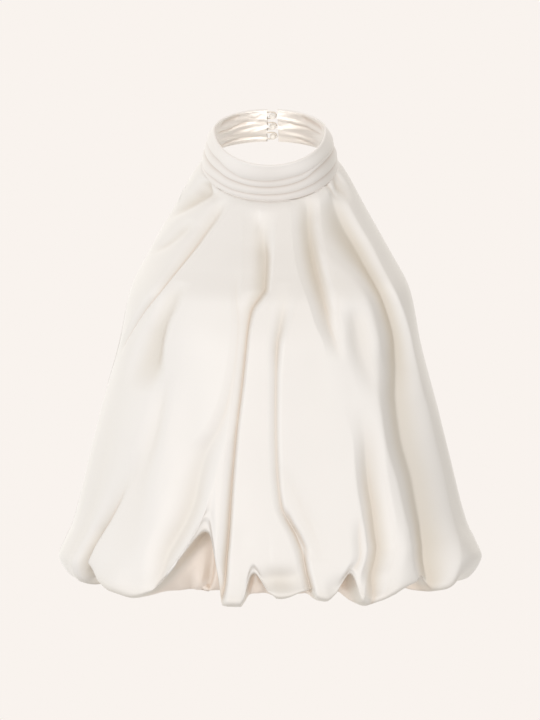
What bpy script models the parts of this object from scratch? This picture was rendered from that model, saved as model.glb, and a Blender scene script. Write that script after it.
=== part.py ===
"""A sleeveless halter blouse in ivory satin, filled out as if worn, with no wearer.

A front panel hangs from a pleated stand collar and runs down to a bubble hem: the
cloth turns in under the hem and is gathered onto a narrow elastic band. A low back
panel joins it at two side seams, and the collar closes at the centre back with three
ball buttons in cord loops.

The origin is the centre of the neck seam, +Z is up and the front faces -Y. Tables are
in millimetres and degrees. An angle goes round the body from the centre front: +90 is
the side seam at +X, 180 the centre back and -90 the side seam at -X.
"""

import math
from collections import namedtuple

import bmesh
import bpy
from mathutils import Vector

MM = 0.001  # one millimetre in metres

CLOTH = 1.2  # thickness of a panel's wall
SEAM_GAP = 0.3  # between two pieces that are sewn together
NECK_TILT = 28  # slope of the neck seam's ring, down to the front
SIDE_SEAM = 90  # angle of each side seam
FOLD_FADE = 30  # length over which a fold dies away past its ends
HEM_REACH = 2.2  # a hem pocket gathers cloth over this many times its rise

# Levels of the panels, top to bottom and then up inside the hem. The depths run forward
# and back from the widest line, which lies `middle` behind the origin; `tilt` is the slope
# of the section down to the front, and `edge` the angle where the front panel ends.
Section = namedtuple("Section", "name height half_width front_depth back_depth middle tilt edge")
SECTIONS = (
    Section("neck", 0, 69.5, 63, 37, 13, NECK_TILT, 109),
    Section("shoulder", -7, 76, 68, 43, 13, 27, 108),
    Section("yoke", -41, 98, 79, 56, 9, 19, 101),
    Section("chest", -83, 123.5, 94, 74, 4, 9, 95),
    Section("underarm", -124, 144.5, 109, 90, 0, 2, SIDE_SEAM),
    Section("bust", -177, 156, 119, 98, 0, 0, SIDE_SEAM),
    Section("rib", -240, 173.5, 122, 104, 0, 0, SIDE_SEAM),
    Section("waist", -304, 189, 127, 112, 0, 0, SIDE_SEAM),
    Section("hip", -368, 206, 135, 122, 0, 0, SIDE_SEAM),
    Section("widest", -404, 222.5, 142, 130, 0, 0, SIDE_SEAM),
    Section("turn", -422, 210, 137, 125, 0, 0, SIDE_SEAM),
    Section("bottom", -430, 196, 126, 115, 0, 0, SIDE_SEAM),
    Section("under", -426, 178, 114, 103, 0, 0, SIDE_SEAM),
    Section("band", -410, 157, 99, 88, 0, 0, SIDE_SEAM),
)
NAMES = [section.name for section in SECTIONS]
UNDERARM, BUST, WAIST, HIP = (NAMES.index(name) for name in ("underarm", "bust", "waist", "hip"))
WIDEST, TURN, BOTTOM, UNDER, BAND = (
    NAMES.index(name) for name in ("widest", "turn", "bottom", "under", "band")
)
BACK_TOP = BUST  # level of the back panel's top edge at the centre back
GATHERED = UNDER + 0.5  # from here to the band the cloth runs the same all round

# Soft vertical troughs. The three stations run down the cloth: `drop` is the distance
# below the neck seam, `angle` the place round the body and `depth` how far it sinks.
# `width` is its half-width in degrees.
Fold = namedtuple("Fold", "name drop angle depth width")
FOLDS = (
    Fold("left armhole", (5, 25, 50), (-50, -65, -78), (2, 5, 2), 7),
    Fold("left chest", (9, 89, 178), (-38, -48, -72), (2, 5, 4), 8),
    Fold("left hem", (216, 300, 400), (-40, -43, -51), (3, 7, 11), 7),
    Fold("left centre", (60, 230, 407), (-6, -10, -12), (2, 8, 14), 6),
    Fold("right centre", (120, 240, 400), (6, 2, 10), (3, 9, 8), 6),
    Fold("right yoke", (10, 67, 167), (26, 17, 22), (2, 6, 4), 7),
    Fold("right chest", (17, 136, 198), (50, 55, 56), (3, 11, 6), 9),
    Fold("right hem", (176, 304, 412), (43, 47, 50), (7, 13, 10), 8),
    Fold("right front", (254, 344, 415), (29, 28, 27), (3, 7, 9), 6),
    Fold("left side", (170, 290, 410), (-84, -80, -77), (2, 6, 7), 7),
    Fold("right side", (180, 300, 410), (78, 76, 73), (2, 7, 6), 7),
    Fold("back left blade", (160, 290, 410), (-118, -121, -126), (2, 8, 11), 8),
    Fold("back left", (190, 300, 410), (-150, -149, -152), (3, 8, 10), 7),
    Fold("back centre", (200, 300, 410), (176, 178, 181), (4, 10, 12), 7),
    Fold("back right", (190, 300, 410), (148, 151, 155), (3, 8, 9), 7),
    Fold("back right blade", (165, 280, 410), (118, 116, 121), (2, 9, 11), 8),
)

# Places where the gathers draw the turned-under hem up and in, between its lobes.
Pocket = namedtuple("Pocket", "name left apex right rise draw")
POCKETS = (
    Pocket("left front", -68, -63, -50, 26, 10),
    Pocket("big notch", -43, -19, -13, 74, 20),
    Pocket("centre", -9, -5, 0, 34, 14),
    Pocket("right of centre", 18, 26, 30, 34, 14),
    Pocket("right front", 37, 49, 54, 14, 7),
    Pocket("back right side", 100, 110, 117, 24, 12),
    Pocket("back right", 128, 138, 143, 44, 20),
    Pocket("back middle", 161, 170, 176, 56, 22),
    Pocket("back left", -168, -162, -150, 30, 14),
    Pocket("back left side", -142, -135, -122, 50, 22),
    Pocket("left side", -112, -106, -98, 22, 10),
)

# The collar's rings along its own axis, which leans back by NECK_TILT.
Ring = namedtuple("Ring", "height half_width front_depth back_depth")
COLLAR_RINGS = (
    Ring(0, 69.5, 71.4, 41.9),
    Ring(9, 68.5, 71.0, 41.6),
    Ring(20, 65.4, 70.5, 41.0),
    Ring(34, 60.6, 70.0, 40.5),
    Ring(40, 57.8, 69.5, 40.1),
)
COLLAR_MIDDLE = 14.7  # the widest line lies this far behind the axis
COLLAR_HEIGHT = 40
COLLAR_RIGHT_END = 172.2  # angles of the two ends at the centre back
COLLAR_LEFT_END = -177.6
COLLAR_THICKNESS = 2.0
TUCK = 1.2  # each tuck's lower edge stands out this far over the next one
TUCK_EDGES = (SEAM_GAP, 6.5, 16, 24)  # heights of the tucks' lower edges
TUCK_TURN = 0.5  # height taken by the fold at a tuck's edge

BAND_HEIGHT = 14
BAND_THICKNESS = 2.4
BAND_LIFT = 0.4  # from the end of the cloth to the band's lower edge
BAND_INSET = 0.6  # from the end of the cloth in to the band's outer face

BUTTON_RADIUS = 3.5
SHANK_RADIUS = 0.7
BUTTON_HEIGHTS = (6.5, 19, 32)
BUTTON_INSET = 0.8  # the balls sit this far towards the neck from the wall's middle
CORD_RADIUS = 0.6
LOOP_RADIUS = 4.0
LOOP_OUTSET = 0.9  # the loops run this far behind the wall's middle

FRONT_CELLS = 50  # cells across each piece
BACK_CELLS = 38
COLLAR_CELLS = 38
BAND_CELLS = 44
YOKE_ROWS = 6  # rows of cells above the underarm, from there to the hip, and round the hem
BODY_ROWS = 5
HEM_ROWS = 11
BALL_STEPS = 8  # cells of a button from end to end and around, and of a loop's bend
BALL_SIDES = 14
LOOP_STEPS = 8
LEVEL_STEP = 0.02  # steps, in levels and degrees, that find which way a panel faces
ANGLE_STEP = 0.4
SHARP_ANGLE = 50  # edges sharper than this are shaded as edges
MERGED = 0.01  # points closer than this are one point

Finish = namedtuple("Finish", "name colour roughness")
PANEL_FINISH = Finish("satin", (0.86, 0.81, 0.74), 0.34)
COLLAR_FINISH = Finish("collar satin", (0.84, 0.78, 0.71), 0.36)
BAND_FINISH = Finish("elastic casing", (0.80, 0.74, 0.66), 0.55)
BUTTON_FINISH = Finish("pearl", (0.88, 0.83, 0.77), 0.18)
CORD_FINISH = Finish("loop cord", (0.80, 0.73, 0.64), 0.5)


def blend(low, high, value):
    """0 below low, 1 above high and a smooth rise between."""
    share = min(max((value - low) / (high - low), 0), 1)
    return share * share * (3 - 2 * share)


def interpolate(value, places, values):
    """The broken line through (places, values), held level past its ends."""
    if value <= places[0]:
        return values[0]
    for left, right, low, high in zip(places, places[1:], values, values[1:]):
        if value <= right:
            return low + (high - low) * (value - left) / (right - left)
    return values[-1]


def rounded(rows, level):
    """The numbers of a table's rows at a fractional row, on a Catmull-Rom curve."""
    first = min(max(int(level), 0), len(rows) - 2)
    part = level - first
    before = rows[max(first - 1, 0)]
    start, end = rows[first], rows[first + 1]
    after = rows[min(first + 2, len(rows) - 1)]
    found = []
    for p0, p1, p2, p3 in zip(before, start, end, after):
        bend = 2 * p0 - 5 * p1 + 4 * p2 - p3
        twist = 3 * p1 - p0 - 3 * p2 + p3
        found.append(p1 + 0.5 * part * (p2 - p0 + part * (bend + part * twist)))
    return found


def section_at(level):
    numbers = rounded([section[1:] for section in SECTIONS], level)
    return Section("between", *numbers)


def turned_from(angle, centre):
    """The angle measured from centre, between -180 and 180."""
    return (angle - centre + 180) % 360 - 180


def fold_depth(fold, drop, angle):
    places = (fold.drop[0] - FOLD_FADE, *fold.drop, fold.drop[-1] + FOLD_FADE)
    depth = interpolate(drop, places, (0, *fold.depth, 0))
    across = turned_from(angle, interpolate(drop, fold.drop, fold.angle)) / fold.width
    return depth * math.exp(-across * across)


def pocket_share(pocket, angle):
    """1 at the pocket's apex, falling to 0 at its two feet."""
    if turned_from(angle, pocket.apex) < 0:
        return blend(0, 1, turned_from(angle, pocket.left) / (pocket.apex - pocket.left))
    return blend(0, 1, -turned_from(angle, pocket.right) / (pocket.right - pocket.apex))


def hem_lift(level, drop, rise):
    """How far a pocket of this rise lifts the cloth at a level."""
    if rise <= 0:
        return 0
    if level > BOTTOM:
        return rise * (1 - blend(BOTTOM, GATHERED, level))
    return rise * blend(-HEM_REACH * rise, 0, drop + SECTIONS[BOTTOM].height)


def surface(level, angle):
    """A point of the outer face of the panels, in millimetres."""
    section = section_at(level)
    drop = -section.height
    sink = sum(fold_depth(fold, drop, angle) for fold in FOLDS)
    sink *= 1 - blend(TURN, UNDER, level)
    shares = [(pocket_share(pocket, angle), pocket) for pocket in POCKETS]
    rise = max(share * pocket.rise for share, pocket in shares)
    draw = max(share * pocket.draw for share, pocket in shares)
    sink += draw * interpolate(level, (WAIST, WIDEST, BOTTOM, GATHERED), (0, 1, 1, 0))
    round_body = math.radians(angle)
    depth = section.front_depth if math.cos(round_body) > 0 else section.back_depth
    x = (section.half_width - sink) * math.sin(round_body)
    y = section.middle - (depth - sink) * math.cos(round_body)
    z = section.height + y * math.tan(math.radians(section.tilt))
    return Vector((x, y, z + hem_lift(level, drop, rise)))


def panel_point(level, angle, inner):
    """A point of the outer face, or of the inner face under it."""
    point = surface(level, angle)
    if not inner:
        return point
    down = surface(level + LEVEL_STEP, angle) - surface(level - LEVEL_STEP, angle)
    across = surface(level, angle + ANGLE_STEP) - surface(level, angle - ANGLE_STEP)
    return point - CLOTH * down.cross(across).normalized()


def plain(finish):
    """A material of one colour."""
    material = bpy.data.materials.new(finish.name)
    material.use_nodes = True
    shader = material.node_tree.nodes["Principled BSDF"]
    shader.inputs["Base Color"].default_value = (*finish.colour, 1)
    shader.inputs["Roughness"].default_value = finish.roughness
    shader.inputs["Metallic"].default_value = 0
    return material


def add_object(name, bm, material):
    """Puts the mesh into the scene as one smooth-shaded object, in metres."""
    bmesh.ops.recalc_face_normals(bm, faces=bm.faces[:])
    if bm.calc_volume(signed=True) < 0:
        bmesh.ops.reverse_faces(bm, faces=bm.faces[:])
    bmesh.ops.scale(bm, vec=(MM, MM, MM), verts=bm.verts[:])
    mesh = bpy.data.meshes.new(name)
    bm.to_mesh(mesh)
    bm.free()
    mesh.materials.append(material)
    mesh.shade_smooth()
    mesh.set_sharp_from_angle(angle=math.radians(SHARP_ANGLE))
    bpy.context.collection.objects.link(bpy.data.objects.new(name, mesh))


def doubled(bm):
    """Gives an open sheet an inner face and closed edges; returns the inner face's points."""
    copied = bmesh.ops.extrude_face_region(bm, geom=bm.faces[:])
    return {item for item in copied["geom"] if isinstance(item, bmesh.types.BMVert)}


def sheet(name, cells, place, material):
    """A closed wall on place(across, down, inner), with across and down from 0 to 1."""
    bm = bmesh.new()
    bmesh.ops.create_grid(bm, x_segments=cells[0], y_segments=cells[1], size=0.5)
    inner = doubled(bm)
    for vert in bm.verts:
        vert.co = place(vert.co.x + 0.5, 0.5 - vert.co.y, vert in inner)
    add_object(name, bm, material)


def tube(name, segments, place, material):
    """A closed ring-shaped wall on place(angle, up, inner), with up from 0 to 1."""
    bm = bmesh.new()
    bmesh.ops.create_cone(
        bm, segments=segments, radius1=1, radius2=1, depth=1, cap_ends=False, cap_tris=False
    )
    inner = doubled(bm)
    for vert in bm.verts:
        angle = math.degrees(math.atan2(vert.co.y, vert.co.x))
        vert.co = place(angle, vert.co.z + 0.5, vert in inner)
    add_object(name, bm, material)


def seam_turn(depth):
    """Half the seam gap as an angle at a side seam of a section this deep."""
    return math.degrees(0.5 * SEAM_GAP / depth)


def build_front(material):
    rows = YOKE_ROWS + BODY_ROWS + HEM_ROWS
    ends = (0, YOKE_ROWS, YOKE_ROWS + BODY_ROWS, rows)

    def place(across, down, inner):
        level = interpolate(down * rows, ends, (0, UNDERARM, HIP, BAND))
        section = section_at(level)
        reach = section.edge - seam_turn(section.front_depth)
        return panel_point(level, reach * (2 * across - 1), inner)

    sheet("front", (FRONT_CELLS, rows), place, material)


def build_back(material):
    rows = BODY_ROWS + HEM_ROWS

    def place(across, down, inner):
        dip = math.sin(math.pi * across)
        top = UNDERARM + (BACK_TOP - UNDERARM) * dip
        level = interpolate(down * rows, (0, BODY_ROWS, rows), (top, HIP, BAND))
        start = SIDE_SEAM + seam_turn(section_at(level).back_depth)
        return panel_point(level, start + (360 - 2 * start) * across, inner)

    sheet("back", (BACK_CELLS, rows), place, material)


def collar_point(height, angle, outset):
    """A point `outset` outside the collar's ring at a height along its axis."""
    level = interpolate(height, [ring.height for ring in COLLAR_RINGS], range(len(COLLAR_RINGS)))
    ring = Ring(*rounded(COLLAR_RINGS, level))
    turn = math.radians(angle)
    depth = ring.front_depth if math.cos(turn) > 0 else ring.back_depth
    x = (ring.half_width + outset) * math.sin(turn)
    back = COLLAR_MIDDLE - (depth + outset) * math.cos(turn)
    tilt = math.radians(NECK_TILT)
    y = back * math.cos(tilt) - height * math.sin(tilt)
    z = back * math.sin(tilt) + height * math.cos(tilt)
    return Vector((x, y, z))


def collar_profile():
    """(height, outset) down the outer face, tuck by tuck."""
    tops = (*TUCK_EDGES[1:], COLLAR_HEIGHT)
    profile = []
    for edge, top in zip(TUCK_EDGES, tops):
        profile.append((edge + (TUCK_TURN if edge > SEAM_GAP else 0), TUCK))
        profile.append((top, 0))
    profile.reverse()
    return profile


def build_collar(material):
    profile = collar_profile()
    rows = len(profile) - 1

    def place(across, down, inner):
        height, outset = profile[round(down * rows)]
        angle = COLLAR_LEFT_END + (COLLAR_RIGHT_END - COLLAR_LEFT_END) * across
        return collar_point(height, angle, -COLLAR_THICKNESS if inner else outset)

    sheet("collar", (COLLAR_CELLS, rows), place, material)


def build_hem_band(material):
    def place(angle, up, inner):
        end = SECTIONS[BAND]
        sink = BAND_INSET + (BAND_THICKNESS if inner else 0)
        turn = math.radians(angle)
        depth = end.front_depth if math.cos(turn) > 0 else end.back_depth
        x = (end.half_width - sink) * math.sin(turn)
        y = -(depth - sink) * math.cos(turn)
        return Vector((x, y, end.height + BAND_LIFT + BAND_HEIGHT * up))

    tube("hem_band", BAND_CELLS, place, material)


def closure_centre(height):
    """The middle of the collar's gap at a height, and half the gap's width."""
    ends = [
        collar_point(height, angle, -0.5 * COLLAR_THICKNESS)
        for angle in (COLLAR_LEFT_END, COLLAR_RIGHT_END)
    ]
    return (ends[0] + ends[1]) / 2, (ends[1].x - ends[0].x) / 2


def along_depth(distance):
    """A move in the plane of the collar's ring, away from the neck at the back."""
    tilt = math.radians(NECK_TILT)
    return Vector((0, distance * math.cos(tilt), distance * math.sin(tilt)))


def build_button(name, height, material):
    """A ball on a short shank that points to the collar's right end."""
    centre, half_gap = closure_centre(height)
    centre -= along_depth(BUTTON_INSET)
    shank_from = math.asin(SHANK_RADIUS / BUTTON_RADIUS)
    bm = bmesh.new()
    profile = [bm.verts.new((-BUTTON_RADIUS, 0, 0))]
    for step in range(1, BALL_STEPS):
        turn = (math.pi - shank_from) * step / (BALL_STEPS - 1)
        place = (-BUTTON_RADIUS * math.cos(turn), BUTTON_RADIUS * math.sin(turn), 0)
        profile.append(bm.verts.new(place))
    end = half_gap - SEAM_GAP
    profile.append(bm.verts.new((end, SHANK_RADIUS, 0)))
    profile.append(bm.verts.new((end, 0, 0)))
    edges = [bm.edges.new(pair) for pair in zip(profile, profile[1:])]
    bmesh.ops.spin(
        bm, geom=profile + edges, cent=(0, 0, 0), axis=(1, 0, 0), angle=math.tau,
        steps=BALL_SIDES, use_merge=True,
    )
    bmesh.ops.remove_doubles(bm, verts=bm.verts[:], dist=MERGED)
    bmesh.ops.translate(bm, vec=centre, verts=bm.verts[:])
    add_object(name, bm, material)


def build_loop(name, height, material):
    """A cord from the collar's left end, round behind the button and back."""
    centre, half_gap = closure_centre(height)
    centre += along_depth(LOOP_OUTSET)
    tilt = math.radians(NECK_TILT)
    up = Vector((0, -math.sin(tilt), math.cos(tilt)))
    start = Vector((SEAM_GAP - half_gap, 0, 0))
    path = [start + LOOP_RADIUS * up]
    for step in range(LOOP_STEPS + 1):
        turn = math.pi * (0.5 - step / LOOP_STEPS)
        path.append(LOOP_RADIUS * (Vector((math.cos(turn), 0, 0)) + math.sin(turn) * up))
    path.append(start - LOOP_RADIUS * up)
    curve = bpy.data.curves.new(name, "CURVE")
    curve.dimensions = "3D"
    curve.bevel_depth = CORD_RADIUS * MM
    curve.bevel_resolution = 1
    curve.use_fill_caps = True
    spline = curve.splines.new("POLY")
    spline.points.add(len(path) - 1)
    for point, place in zip(spline.points, path):
        point.co = (*((centre + place) * MM), 1)
    curve.materials.append(material)
    bpy.context.collection.objects.link(bpy.data.objects.new(name, curve))


def build_blouse():
    for thing in list(bpy.data.objects):
        bpy.data.objects.remove(thing, do_unlink=True)
    panel_material = plain(PANEL_FINISH)
    build_front(panel_material)
    build_back(panel_material)
    build_collar(plain(COLLAR_FINISH))
    build_hem_band(plain(BAND_FINISH))
    button_material = plain(BUTTON_FINISH)
    cord_material = plain(CORD_FINISH)
    for number, height in enumerate(BUTTON_HEIGHTS, start=1):
        build_button(f"button_{number}", height, button_material)
        build_loop(f"loop_{number}", height, cord_material)


build_blouse()
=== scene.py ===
import math
from collections import namedtuple

import bmesh
import bpy
import numpy as np
from mathutils import Matrix, Vector


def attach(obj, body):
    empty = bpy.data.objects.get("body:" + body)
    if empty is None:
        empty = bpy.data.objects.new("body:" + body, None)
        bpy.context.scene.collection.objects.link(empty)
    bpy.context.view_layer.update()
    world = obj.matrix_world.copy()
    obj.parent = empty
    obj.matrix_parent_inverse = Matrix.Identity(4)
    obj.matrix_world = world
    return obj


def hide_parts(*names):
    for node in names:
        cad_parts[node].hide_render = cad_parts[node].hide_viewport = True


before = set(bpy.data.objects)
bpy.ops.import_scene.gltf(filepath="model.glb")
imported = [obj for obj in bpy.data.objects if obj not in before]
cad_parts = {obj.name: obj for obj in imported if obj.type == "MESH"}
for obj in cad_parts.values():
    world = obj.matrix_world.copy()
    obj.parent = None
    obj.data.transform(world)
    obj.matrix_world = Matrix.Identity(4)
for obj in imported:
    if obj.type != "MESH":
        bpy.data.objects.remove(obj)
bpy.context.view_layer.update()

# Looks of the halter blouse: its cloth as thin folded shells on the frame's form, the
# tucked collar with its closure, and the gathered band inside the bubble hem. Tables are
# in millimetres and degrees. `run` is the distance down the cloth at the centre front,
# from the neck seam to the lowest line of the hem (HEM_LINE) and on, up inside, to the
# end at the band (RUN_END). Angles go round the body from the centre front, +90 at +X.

MM = 0.001
CLOTH = 1.0
UNDERARM = 124
HEM_LINE = 438
GATHERS = 462  # from here to the end the cloth runs the same all round
RUN_END = 476

Section = namedtuple("Section", "run height half_width front_depth back_depth middle tilt edge")
SECTIONS = [Section(*row) for row in (
    (0, 0, 69.5, 63, 37, 13, 28, 109),
    (7, -7, 76, 68, 43, 13, 27, 108),
    (41, -41, 98, 79, 56, 9, 19, 101),
    (83, -83, 123.5, 94, 74, 4, 9, 95),
    (124, -124, 144.5, 108, 90, 0, 2, 90),
    (177, -177, 156, 121, 98, 0, 0, 90),
    (240, -240, 173.5, 124.5, 104, 0, 0, 90),
    (304, -304, 189, 128.5, 112, 0, 0, 90),
    (368, -368, 206, 135, 122, 0, 0, 90),
    (390, -390, 216.5, 137.5, 125.5, 0, 0, 90),
    (404, -404, 222, 139, 128, 0, 0, 90),
    (413, -413, 219, 139.8, 129, 0, 0, 90),
    (422, -422, 213, 140.5, 128.5, 0, 0, 90),
    (428, -427.5, 207, 137, 125.5, 0, 0, 90),
    (438, -431, 194, 127, 116, 0, 0, 90),
    (453, -426, 178, 114, 103, 0, 0, 90),
    (476, -410, 157, 99, 88, 0, 0, 90),
)]
RUNS = np.array([section.run for section in SECTIONS], float)
ROWS = np.array([section[1:] for section in SECTIONS], float)

# Away from the sides the cloth stays wide down to its lip: (run, half width), and how much
# deeper it is than its section: (run, depth).
WIDE_LIP = (
    (368, 206), (385, 210.8), (404, 217), (413, 220.3), (422, 222.5), (430, 222), (436, 215),
    (440, 206), (446, 191), (453, 180), (476, 157),
)
DEEP_LIP = (
    (368, 0), (390, 0.6), (404, 1.8), (413, 3.3), (422, 5.2), (430, 7.5), (436, 7.6), (440, 5.5),
    (446, 3), (453, 1), (476, 0),
)
LIP_RUNS = (368, 400)  # the lip's own width comes in between these runs
LIP_SIDES = (48, 78)  # and dies away between these angles from the front and back


# -- numbers --

def smooth(low, high, value):
    """0 below low, 1 above high and a smooth rise between."""
    share = np.clip((value - low) / (high - low), 0, 1)
    return share * share * (3 - 2 * share)


def curve(x, xs, ys):
    """A smooth line through the points (xs, ys), level past its ends, with no overshoot."""
    xs, ys = np.asarray(xs, float), np.asarray(ys, float)
    step = np.diff(xs)
    rise = np.diff(ys) / step
    slope = np.zeros(len(xs))
    slope[0], slope[-1] = rise[0], rise[-1]
    turn = rise[:-1] * rise[1:]
    both = rise[:-1] + rise[1:]
    slope[1:-1] = np.where(turn > 0, 2 * turn / np.where(both == 0, 1, both), 0)
    x = np.clip(x, xs[0], xs[-1])
    i = np.clip(np.searchsorted(xs, x, side="right") - 1, 0, len(xs) - 2)
    t = (x - xs[i]) / step[i]
    h = step[i]
    return (
        ys[i] * (1 + 2 * t) * (1 - t) ** 2
        + h * slope[i] * t * (1 - t) ** 2
        + ys[i + 1] * t * t * (3 - 2 * t)
        + h * slope[i + 1] * t * t * (t - 1)
    )


def follow(x, points):
    """The same line through (x, y) points."""
    return curve(x, *np.array(points, float).T)


def sections_at(run):
    """The columns of SECTIONS at each run."""
    return Section(run, *(curve(run, RUNS, column) for column in ROWS.T))


def turned_from(angle, centre):
    """The turn from a centre to an angle, from -180 to 180."""
    return (angle - centre + 180) % 360 - 180


# -- folds --

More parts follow.
